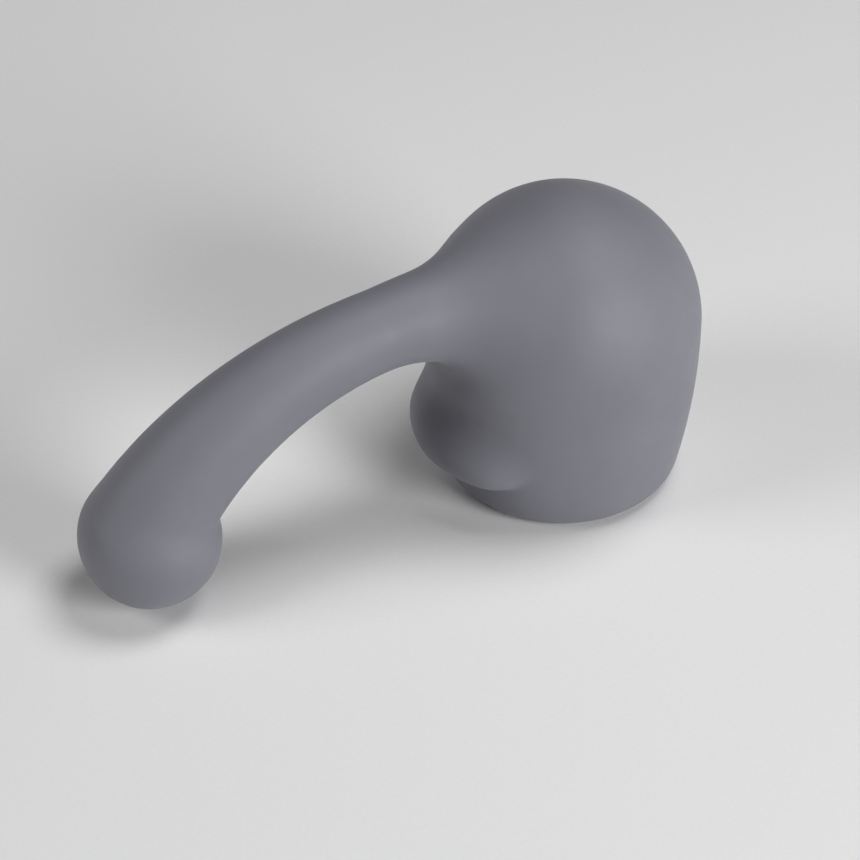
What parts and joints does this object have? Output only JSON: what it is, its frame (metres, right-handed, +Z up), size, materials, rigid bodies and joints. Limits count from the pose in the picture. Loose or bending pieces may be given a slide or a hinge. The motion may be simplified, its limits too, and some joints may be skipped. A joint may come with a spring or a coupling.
{
  "type": "wand massager attachment",
  "caption": "Arched silicone attachment for a wand massager: a hollow round cap that slips over the wand's head, with a curved, springy arm that ends in a weighted bulb.",
  "frame": {"origin": "centre of the mouth that the wand's head goes into, on the plane that the cap and the bulb stand on", "axes": "+Z up along the cap's axis, from the mouth towards the dome's top; the arm leaves the cap towards -X and lies in the XZ plane; +Y completes the right-handed frame"},
  "size_m": [0.1663, 0.069, 0.0798],
  "materials": {
    "silicone": "satin matte silicone",
    "nylon": "moulded, fine texture",
    "rod_nylon": "extruded, natural",
    "steel": "turned",
    "screw_steel": "zinc plated",
    "ball_steel": "ground",
    "cushion": "soft rubber"
  },
  "bodies": {
    "cup": {"cup_cover": "silicone", "anchor_plate": "nylon", "cup_ferrule": "steel", "neck_rod": "rod_nylon", "neck_cover": "silicone"},
    "arm": {"arm_cover": "silicone", "arm_ferrule": "steel", "core_half_left": "nylon", "core_half_right": "nylon", "core_screws": "screw_steel", "tip_weight": "ball_steel", "weight_cushions": "cushion"}
  },
  "joints": [
    {"name": "arm_flex", "type": "hinge", "parent": "cup", "child": "arm", "pos_m": [-0.05279, 0, 0.05953], "axis": [0, 1, 0], "range_deg": [0, 18], "stiffness_Nm_per_rad": 3, "deforming": ["neck_cover", "neck_rod"]}
  ]
}
